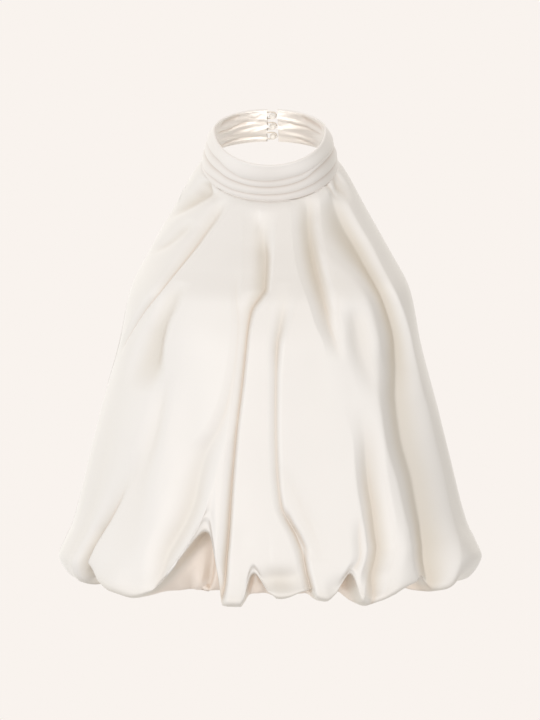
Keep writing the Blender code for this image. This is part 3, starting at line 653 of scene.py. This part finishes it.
# The lower edge of each tuck from the bottom up: (angle, height) stations round the neck,
# and how far the edge stands out over the next tuck.
Tuck = namedtuple("Tuck", "stand_out edge")
TUCKS = (
    Tuck(1.2, ((-178, -0.9), (172, -0.9))),
    Tuck(1.3, ((-178, 6.5), (-110, 5), (-76, 4.5), (-52, 7), (-31, 6), (-14, 6.5), (16, 7.5),
     (38, 9.5), (56, 11), (90, 10), (172, 7))),
    Tuck(1.3, ((-178, 16), (-100, 17.5), (-52, 18.5), (-42, 17), (-32, 16.5), (-15, 15.5),
     (2, 16), (17, 17), (32, 19), (45, 23), (60, 24.5), (95, 21), (172, 17))),
    Tuck(2.3, ((-178, 25), (-100, 28.5), (-56, 30), (-44, 27.5), (-34, 25), (-24, 23), (-16, 23),
     (-1, 23.5), (18, 25.5), (30, 26), (44, 27.5), (59, 28.5), (100, 27), (172, 25))),
)
TUCK_ROWS = 7
TUCK_SPACING = 1.6  # over 1, the rows lie closer together under the edge above
TUCK_BULGE = 0.3
INNER_ROWS = 26

# Creases on the collar's inside: how deep and how tall each is, and its (angle, height) line.
InnerCrease = namedtuple("InnerCrease", "depth spread line")
INNER_CREASES = [InnerCrease(*row) for row in (
    (0.9, 1.1, ((-160, 26), (-154, 25.5), (-146, 24), (-136, 21.5), (-123, 22.5))),
    (0.9, 1.1, ((124, 20.5), (136, 22), (145, 24), (153, 23.5), (162, 25))),
    (0.9, 3, ((-146, 36), (-134, 35), (-122, 33))),
    (1.0, 3, ((118, 30), (130, 32.5), (144, 35))),
    (0.5, 0.8, ((-174, 18.5), (-168, 16), (-162, 14.5))),
    (0.5, 0.8, ((165, 15.5), (171, 20))),
    (0.7, 0.9, ((-174, 6), (-156, 7), (-144, 6), (-131, 3.5))),
    (0.7, 0.9, ((136, 3), (146, 5), (156, 7))),
    (0.4, 1.6, ((-172, 33), (-166, 30), (-158, 32))),
    (0.5, 2, ((-100, 20), (-60, 24), (-20, 21))),
    (0.5, 2, ((20, 22), (60, 19), (100, 24))),
)]
INNER_FADE = 4  # degrees over which a crease starts and ends
INNER_CREASE_SHADE = 0.45  # how much painted shade it gets for each millimetre of its depth


def along_neck(back, up):
    """The y and z of a place given across and along the collar's own axis."""
    return (back * math.cos(NECK_TILT) - up * math.sin(NECK_TILT),
            back * math.sin(NECK_TILT) + up * math.cos(NECK_TILT))


def collar_surface(height, angle, outset):
    """Points `outset` outside the collar's rings, in millimetres."""
    turn = np.radians(angle)
    half_width, front_depth, back_depth = (
        curve(height, RINGS[:, 0], sizes) for sizes in RINGS.T[1:]
    )
    depth = np.where(np.cos(turn) > 0, front_depth, back_depth)
    back = COLLAR_MIDDLE - (depth + outset) * np.cos(turn)
    return np.stack(((half_width + outset) * np.sin(turn), *along_neck(back, height)), -1)


def inner_creases(height, angle):
    """How far the collar's inner face sinks into its creases."""
    sink = np.zeros(angle.shape)
    for crease in INNER_CREASES:
        off = (height - follow(angle, crease.line)) / crease.spread
        start, end = crease.line[0][0], crease.line[-1][0]
        window = smooth(start - INNER_FADE, start + INNER_FADE, angle)
        window = window * (1 - smooth(end - INNER_FADE, end + INNER_FADE, angle))
        sink += crease.depth * np.exp(-off * off) * window
    return sink


def collar_profile(angle):
    """(height, outset, painted shade) down the outer face and up the inner one, for each angle.
    """
    edges = [follow(angle, tuck.edge) for tuck in TUCKS]
    tops = (*edges[1:], COLLAR_TOP)
    rows = [(COLLAR_TOP + 0.1, -0.6, 0), (COLLAR_TOP - 0.1, 0.1, 0),
            (COLLAR_TOP - 0.7, 0.55, 0)]
    for tuck, edge, top in zip(TUCKS[::-1], edges[::-1], tops[::-1]):
        is_top, is_lowest = tuck is TUCKS[-1], tuck is TUCKS[0]
        start, start_out = (top - 1.6, 0.6) if is_top else (top + 0.5, -0.1)
        for share in np.linspace(0, 1, TUCK_ROWS) ** TUCK_SPACING:
            out = start_out + (tuck.stand_out - start_out) * smooth(0, 1, share)
            out = out + TUCK_BULGE * math.sin(math.pi * share)
            # painted shadow under the overhanging edge of the tuck above
            dark = 0 if is_top else math.exp(-6 * share)
            rows.append((start + (edge + 0.25 - start) * share, out, dark))
        # painted shade along the tuck's lower edge
        rows.append((edge - 0.1, tuck.stand_out - 0.1, 0.2))
        rows.append((edge, tuck.stand_out - 0.6, 0.3 if is_lowest else 1))
    for share in np.linspace(0, 1, INNER_ROWS):
        height = 0.2 + (COLLAR_TOP - 0.9) * share
        sink = inner_creases(height, angle)
        swell = 0.35 * np.sin(0.11 * angle + 2.3 * math.sin(0.35 * height))
        inset = COLLAR_WALL - sink - swell * math.sin(math.pi * share)
        rows.append((height, -inset, np.clip(INNER_CREASE_SHADE * sink, 0, 1)))
    rows.append((COLLAR_TOP - 0.15, -1.5, 0))
    rows.append(rows[0])
    return [np.array([value + 0 * angle for value in values]) for values in zip(*rows)]


def close_ring(mesh):
    """Joins the sheet's first and last rows and closes its open ends."""
    bm = bmesh.new()
    bm.from_mesh(mesh)
    bmesh.ops.remove_doubles(bm, verts=bm.verts, dist=0.00001)
    open_edges = [edge for edge in bm.edges if edge.is_boundary]
    bmesh.ops.holes_fill(bm, edges=open_edges, sides=0)
    bmesh.ops.recalc_face_normals(bm, faces=bm.faces)
    bm.to_mesh(mesh)
    bm.free()
    mesh.shade_smooth()
    mesh.set_sharp_from_angle(angle=COLLAR_SHARP)


def build_collar(material):
    angles = np.linspace(*COLLAR_ENDS, COLLAR_COLUMNS + 1)
    height, outset, crease = collar_profile(angles)
    left_end = np.exp(-(angles - COLLAR_ENDS[0]) / 4)  # both ends curl a little
    right_end = np.exp((angles - COLLAR_ENDS[1]) / 4)
    height = height + 0.5 * np.sin(0.55 * height) * (left_end + 0.5 * right_end)
    angle = angles + 0.7 * np.sin(0.9 * height) * left_end
    mesh, place = grid("collar_cloth", COLLAR_COLUMNS, len(height) - 1)
    points = collar_surface(height, angle, outset)
    shape_grid(mesh, place, points, (0.38, 0.1), crease=crease)
    close_ring(mesh)
    return add(mesh, "collar_satin", material, "collar")


# -- closure --

BUTTON_RADIUS = 3.5
BUTTON_HEIGHTS = (6.5, 19, 32)
BUTTON_INSET = 0.8  # the balls sit this far towards the neck from the wall's middle
BUTTON_FLATNESS = 0.94
SHANK_RADIUS = 0.7
SHANK_SUNK = 0.8  # the shank starts this far inside the ball
CORD_RADIUS = 0.6
LOOP_RADIUS = 4
LOOP_OUTSET = 0.9  # the loops run this far behind the wall's middle
LOOP_STEPS = 20
END_GAP = 0.3  # shank and loop stop this far from the collar's ends


def closure_centre(height):
    """The middle of the collar's gap at a height, and half the gap's width."""
    ends = collar_surface(np.full(2, float(height)), np.array(COLLAR_ENDS), -0.5 * COLLAR_WALL)
    return Vector(ends.mean(0)), abs(ends[1, 0] - ends[0, 0]) / 2


def in_ring(sideways, away, up):
    """A move in the collar's own directions: +X, away from the neck, and up its axis."""
    return Vector((sideways, *along_neck(away, up)))


def build_button(number, height, material):
    """A ball, and its shank to the collar's right end."""
    centre, half_gap = closure_centre(height)
    centre += in_ring(0, -BUTTON_INSET, 0)
    bm = bmesh.new()
    bmesh.ops.create_uvsphere(bm, u_segments=28, v_segments=18, radius=BUTTON_RADIUS)
    bmesh.ops.scale(bm, vec=(1, 1, BUTTON_FLATNESS), verts=bm.verts)
    length = half_gap - END_GAP - BUTTON_RADIUS + SHANK_SUNK
    shank = bmesh.ops.create_cone(bm, segments=12, radius1=SHANK_RADIUS * 1.5,
                                  radius2=SHANK_RADIUS, depth=length, cap_ends=True)
    bmesh.ops.translate(bm, vec=(0, 0, BUTTON_RADIUS - SHANK_SUNK + length / 2),
                        verts=shank["verts"])
    turn = Matrix.Rotation(math.radians(90), 4, "Y")
    bmesh.ops.transform(bm, matrix=turn, verts=bm.verts)
    bmesh.ops.translate(bm, vec=centre, verts=bm.verts)
    bmesh.ops.scale(bm, vec=(MM, MM, MM), verts=bm.verts)
    mesh = mesh_from(bm, f"pearl_button_{number}")
    mesh.shade_smooth()
    add(mesh, "pearl", material, f"button_{number}")


def build_loop(number, height, material):
    """A cord from the collar's left end, round behind the button and back."""
    centre, half_gap = closure_centre(height)
    centre += in_ring(0, LOOP_OUTSET, 0)
    start = END_GAP - half_gap
    path = [in_ring(start, 0, LOOP_RADIUS * 0.9), in_ring(start * 0.5, 0, LOOP_RADIUS)]
    for step in range(LOOP_STEPS + 1):
        turn = math.pi * (0.5 - step / LOOP_STEPS)
        path.append(in_ring(LOOP_RADIUS * math.cos(turn), 0.25 * math.cos(turn),
                            LOOP_RADIUS * math.sin(turn)))
    path += [in_ring(start * 0.5, 0, -LOOP_RADIUS), in_ring(start, 0, -LOOP_RADIUS * 0.9)]
    line = bpy.data.curves.new("loop path", "CURVE")
    line.dimensions = "3D"
    line.bevel_depth = CORD_RADIUS * MM
    line.bevel_resolution = 3
    line.use_fill_caps = True
    spline = line.splines.new("POLY")
    spline.points.add(len(path) - 1)
    for point, place in zip(spline.points, path):
        point.co = (*((centre + place) * MM), 1)
    cord = bpy.data.objects.new("loop path", line)
    mesh = bpy.data.meshes.new_from_object(cord)
    bpy.data.objects.remove(cord)
    mesh.name = f"cord_loop_{number}"
    mesh.shade_smooth()
    add(mesh, "loop_cord", material, f"loop_{number}")


# -- band inside the hem --

BAND_HEIGHT = 14
BAND_WALL = 2.4
BAND_LIFT = 0.4
BAND_INSET = 0.6
BAND_COLUMNS = 520
BAND_ROWS = 9
BAND_SWELL = 0.35


def build_band(material):
    """The elastic in its puckered casing."""
    turn = np.radians(np.linspace(0, 360, BAND_COLUMNS + 1))
    pucker = np.sin(96 * turn + 1.5 * np.sin(5 * turn)) * (0.7 + 0.3 * np.sin(11 * turn))
    outer = [(share, 0, math.sin(math.pi * share)) for share in np.linspace(0, 1, BAND_ROWS)]
    inner = [(share, BAND_WALL, -bulge) for share, _, bulge in outer[::-1]]
    rows = (*outer, *inner, outer[0])
    share, depth, bulge = (np.array(values)[:, None] for values in zip(*rows))
    end = SECTIONS[-1]
    sink = BAND_INSET + depth + BAND_SWELL * (pucker * bulge + abs(bulge))
    front_or_back = np.where(np.cos(turn) > 0, end.front_depth, end.back_depth)
    x = (end.half_width - sink) * np.sin(turn)
    y = (sink - front_or_back) * np.cos(turn)
    z = end.height + BAND_LIFT + BAND_HEIGHT * share + 0 * x
    mesh, place = grid("elastic_band", BAND_COLUMNS, len(rows) - 1)
    shape_grid(mesh, place, np.stack((x, y, z), -1), (0.8, 0.03))
    close_ring(mesh)
    add(mesh, "elastic", material, "hem_band")


# -- materials --

# Painted shade colours: darker in the hollows of folds, warmer on the turned-under cloth.
HOLLOW_SHADE_COLOUR = (0.72, 0.65, 0.55, 1)
UNDER_SHADE_COLOUR = (0.925, 0.815, 0.72, 1)
THREADS = (2600, 240, 1)  # threads to a metre across and along the cloth


def set_inputs(tree, node, inputs):
    """Gives each input of a node its value, or links it to an output: a node stands for
    its first one."""
    for name, value in inputs.items():
        if isinstance(value, bpy.types.Node):
            value = value.outputs[0]
        if isinstance(value, bpy.types.NodeSocket):
            tree.links.new(value, node.inputs[name])
        else:
            node.inputs[name].default_value = value


def add_node(tree, kind, inputs, **settings):
    node = tree.nodes.new("ShaderNode" + kind)
    for name, value in settings.items():
        setattr(node, name, value)
    set_inputs(tree, node, inputs)
    return node


def blend(tree, share, plain, other):
    mix = add_node(tree, "Mix", {"Factor": share, "A": plain, "B": other}, data_type="RGBA")
    return mix.outputs["Result"]


def build_cloth_group():
    """Woven cloth: its tone, with warmer painted shade in hollows and creases, and its threads.
    """
    group = bpy.data.node_groups.new("woven satin", "ShaderNodeTree")
    for way, sockets in (
        ("INPUT", {"Place": "Vector", "Threads": "Vector", "Colour": "Color",
                   "Hollow Shade Colour": "Color", "Crease Shade Colour": "Color", "Hollow Shade": "Float",
                   "Crease Shade": "Float", "Roughness": "Float"}),
        ("OUTPUT", {"Colour": "Color", "Roughness": "Float", "Height": "Float"}),
    ):
        for label, kind in sockets.items():
            group.interface.new_socket(label, in_out=way, socket_type="NodeSocket" + kind)
    given = group.nodes.new("NodeGroupInput").outputs
    cloud = add_node(group, "TexNoise", {"Vector": given["Place"], "Scale": 14, "Detail": 2})
    tone = add_node(group, "MapRange", {"Value": cloud, "To Min": 0.975, "To Max": 1.02})
    deep = blend(group, given["Hollow Shade"], given["Colour"], given["Hollow Shade Colour"])
    creased = blend(group, given["Crease Shade"], deep, given["Crease Shade Colour"])
    shade = add_node(group, "VectorMath", {0: creased, "Scale": tone}, operation="SCALE")
    stretch = add_node(group, "Mapping", {"Vector": given["Threads"], "Scale": THREADS})
    threads = add_node(group, "TexNoise", {"Vector": stretch, "Scale": 1, "Detail": 3})
    sheen = add_node(group, "Math", {0: threads, 1: 0.08, 2: given["Roughness"]},
                     operation="MULTIPLY_ADD")
    set_inputs(group, group.nodes.new("NodeGroupOutput"),
               {"Colour": shade, "Roughness": sheen, "Height": threads})
    return group


def new_material(name):
    material = bpy.data.materials.new(name)
    material.use_nodes = True
    tree = material.node_tree
    return material, tree, tree.nodes["Principled BSDF"]


def satin(name, group, colour, roughness, crease_shade_colour):
    material, tree, shader = new_material(name)
    hollow, crease, under = (
        add_node(tree, "Attribute", {}, attribute_name=name).outputs["Fac"]
        for name in ("hollow", "crease", "turned_under")
    )
    # painted shade: warmer on the turned-under cloth, darker in hollows and creases
    cloth = add_node(tree, "Group", {
        "Place": add_node(tree, "TexCoord", {}).outputs["Object"],
        "Threads": add_node(tree, "UVMap", {}, uv_map="cloth"),
        "Colour": blend(tree, under, (*colour, 1), UNDER_SHADE_COLOUR),
        "Hollow Shade Colour": HOLLOW_SHADE_COLOUR, "Crease Shade Colour": (*crease_shade_colour, 1),
        "Hollow Shade": hollow, "Crease Shade": crease, "Roughness": roughness,
    }, node_tree=group)
    bump = add_node(tree, "Bump", {"Height": cloth.outputs["Height"], "Strength": 0.12,
                                   "Distance": 0.0002})
    set_inputs(tree, shader, {"Base Color": cloth.outputs["Colour"], "Metallic": 0.45,
                              "Roughness": cloth.outputs["Roughness"], "Normal": bump})
    return material


def varied(name, dark, light, scale, roughness, bump_height, coat=0.0):
    """A plain finish whose tone and surface vary a little over the piece."""
    material, tree, shader = new_material(name)
    place = add_node(tree, "TexCoord", {}).outputs["Object"]
    noise = add_node(tree, "TexNoise", {"Vector": place, "Scale": scale, "Detail": 3})
    ramp = add_node(tree, "ValToRGB", {"Fac": noise})
    for stop, position, colour in zip(ramp.color_ramp.elements, (0.3, 0.7), (dark, light)):
        stop.position = position
        stop.color = (*colour, 1)
    bump = add_node(tree, "Bump", {"Height": noise, "Strength": 0.3, "Distance": bump_height})
    set_inputs(tree, shader, {"Base Color": ramp, "Roughness": roughness,
                              "Coat Weight": coat, "Normal": bump})
    return material


# -- stage, light and camera --

BACKDROP = (0.947, 0.896, 0.855, 1)
FLOOR_HEIGHT = -3.9
CAMERA_DISTANCE = 3.2
CAMERA_PITCH = math.radians(8)
LENS = 153.85
SENSOR = 36
TARGET = Vector((0.0003, 0, -0.198))

# The studio's soft light: broad lobes round the object, each at an azimuth (0 in front, 90 at
# +X) and an elevation, with its brightness and colour.
Glow = namedtuple("Glow", "azimuth elevation strength colour")
GLOWS = [Glow(*row) for row in (
    (0, 0, 0.92, (1, 0.985, 0.975)), (-60, 0, 0.58, (0.97, 1, 1.04)),
    (60, 0, 0.62, (0.98, 1, 1.03)), (-120, 0, 0.78, (1, 1, 0.98)),
    (125, 0, 0.27, (1, 0.94, 0.83)), (180, 0, 0.64, (1, 0.98, 0.94)),
    (-60, 50, 0.63, (1, 0.98, 0.96)), (60, 50, 0.62, (1, 0.97, 0.93)),
    (180, 50, 0.75, (1, 0.97, 0.94)), (-60, -50, 0.46, (1, 0.98, 0.97)),
    (60, -50, 0.42, (1, 0.98, 0.96)), (180, -50, 0.55, (1, 0.98, 0.95)),
)]
GLOW_POWER = 3


def build_floor():
    bm = bmesh.new()
    bmesh.ops.create_grid(bm, x_segments=1, y_segments=1, size=40)
    bmesh.ops.translate(bm, vec=(0, 0, FLOOR_HEIGHT), verts=bm.verts)
    floor = link("floor", mesh_from(bm, "floor"))
    # An even tone, which no light or shadow changes.
    material, tree, shader = new_material("pale floor")
    tree.nodes.remove(shader)
    glow = add_node(tree, "Emission", {"Color": BACKDROP})
    set_inputs(tree, tree.nodes["Material Output"], {"Surface": glow})
    floor.data.materials.append(material)
    floor.visible_diffuse = False
    floor.visible_glossy = False


def build_world():
    """The lobes of soft light; the camera sees the plain backdrop in their place."""
    world = bpy.data.worlds.new("studio")
    bpy.context.scene.world = world
    world.use_nodes = True
    tree = world.node_tree
    tree.nodes.clear()
    place = add_node(tree, "TexCoord", {})
    total = None
    for glow in GLOWS:
        turn, rise = math.radians(glow.azimuth), math.radians(glow.elevation)
        aim = (math.sin(turn) * math.cos(rise), -math.cos(turn) * math.cos(rise),
               math.sin(rise))
        dot = add_node(tree, "VectorMath", {0: place, 1: aim}, operation="DOT_PRODUCT")
        facing = add_node(tree, "Math", {0: dot.outputs["Value"], 1: 0}, operation="MAXIMUM")
        lobe = add_node(tree, "Math", {0: facing, 1: GLOW_POWER}, operation="POWER")
        colour = [glow.strength * tone for tone in glow.colour]
        tinted = add_node(tree, "VectorMath", {0: colour, "Scale": lobe}, operation="SCALE")
        total = add_node(tree, "VectorMath", {0: total, 1: tinted}) if total else tinted
    light = add_node(tree, "Background", {"Color": total})
    seen = add_node(tree, "Background", {"Color": BACKDROP})
    path = add_node(tree, "LightPath", {})
    mix = add_node(tree, "MixShader", {"Fac": path, 1: light, 2: seen})
    add_node(tree, "OutputWorld", {"Surface": mix})


def softbox(name, place, size, watts, aim=None):
    """A soft light, aimed at the object or along `aim`."""
    data = bpy.data.lights.new(name, "AREA")
    data.shape = "RECTANGLE"
    data.size, data.size_y = size
    data.energy = watts
    data.color = (1, 0.98, 0.95)
    light = link(name, data)
    light.location = place
    aim = Vector(aim) if aim else TARGET - Vector(place)
    light.rotation_euler = aim.to_track_quat("-Z", "Y").to_euler()
    return light


def build_lights():
    """The key light, and two hidden ones for the insides of the collar and the front."""
    softbox("key softbox", (-1.7, -2.7, -0.2), (2.4, 2.4), 2)
    light = softbox("collar light", (0, -0.03, -0.03), (0.07, 0.03), 0.01, (0, 0.06, 0.05))
    light.data.spread = math.radians(100)
    light.visible_camera = False
    light = softbox("inside light", (0, 0.05, -0.1), (0.16, 0.2), 0.1, (0, -1, -0.1))
    light.visible_camera = False
    light.visible_glossy = False


def build_camera():
    data = bpy.data.cameras.new("camera")
    data.lens = LENS
    data.sensor_width = SENSOR
    camera = link("camera", data)
    away = Vector((0, -math.cos(CAMERA_PITCH), math.sin(CAMERA_PITCH)))
    camera.location = TARGET + CAMERA_DISTANCE * away
    camera.rotation_euler = (math.pi / 2 - CAMERA_PITCH, 0, 0)
    bpy.context.scene.camera = camera


bpy.context.scene.view_settings.view_transform = "Standard"
woven = build_cloth_group()
# The crease colours are painted shade: in the folds, and on the collar shadow under its tucks.
panel_satin = satin("ivory satin", woven, (0.885, 0.845, 0.8), 0.3, (0.74, 0.6, 0.47))
collar_satin = satin("collar satin", woven, (0.9, 0.855, 0.81), 0.33, (0.5, 0.37, 0.27))
front = build_front(panel_satin)
back = build_back(panel_satin)
build_turned_edges(panel_satin)
collar = build_collar(collar_satin)
pearl = varied("pearl", (0.84, 0.79, 0.72), (0.93, 0.9, 0.86), 260, 0.16, 0.0001, 0.6)
cord = varied("loop cord", (0.72, 0.62, 0.5), (0.86, 0.78, 0.68), 2400, 0.5, 0.0002)
casing = varied("elastic casing", (0.76, 0.68, 0.58), (0.84, 0.77, 0.68), 500, 0.5, 0.0003)
for number, height in enumerate(BUTTON_HEIGHTS, start=1):
    build_button(number, height, pearl)
    build_loop(number, height, cord)
build_band(casing)
build_floor()
build_world()
build_lights()
build_camera()
